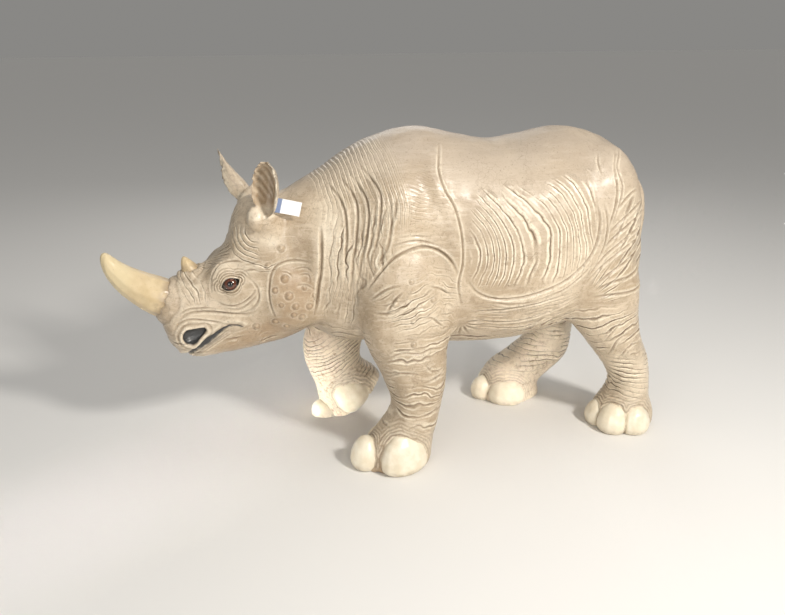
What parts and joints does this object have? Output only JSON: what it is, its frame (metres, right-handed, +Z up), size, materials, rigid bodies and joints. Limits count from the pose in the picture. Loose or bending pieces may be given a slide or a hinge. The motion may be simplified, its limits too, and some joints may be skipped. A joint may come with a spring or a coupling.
{
  "type": "painted resin rhinoceros statue",
  "caption": "Life-like statue of a young black rhinoceros in mid-stride, cast in painted resin, with a blank paper tag hanging from its ear.",
  "frame": {"origin": "on the ground under the middle of the statue's box", "axes": "the statue faces -Y, its left side is +X, +Z is up"},
  "size_m": [0.6688, 1.857, 1.0733],
  "materials": {
    "skin": "semi-gloss taupe paint on cast resin, dark wash in the folds and cream rubbed on the ridges",
    "horn": "satin cream-yellow paint",
    "nail": "satin pale cream paint",
    "eye": "glossy red-brown iris with a black pupil and rim",
    "paper": "blank white card with a blue band"
  },
  "bodies": {
    "root": {"trunk": "skin", "neck": "skin", "head": "skin", "leg_front_left": "skin", "leg_front_right": "skin", "leg_hind_left": "skin", "leg_hind_right": "skin", "ear_left": "skin", "ear_right": "skin", "tail": "skin", "horn_front": "horn", "horn_rear": "horn", "eye_left": "eye", "eye_right": "eye", "ear_tag": "paper", "nail_front_left_1": "nail", "nail_front_left_2": "nail", "nail_front_left_3": "nail", "nail_front_right_1": "nail", "nail_front_right_2": "nail", "nail_front_right_3": "nail", "nail_hind_left_1": "nail", "nail_hind_left_2": "nail", "nail_hind_left_3": "nail", "nail_hind_right_1": "nail", "nail_hind_right_2": "nail", "nail_hind_right_3": "nail"}
  },
  "joints": []
}
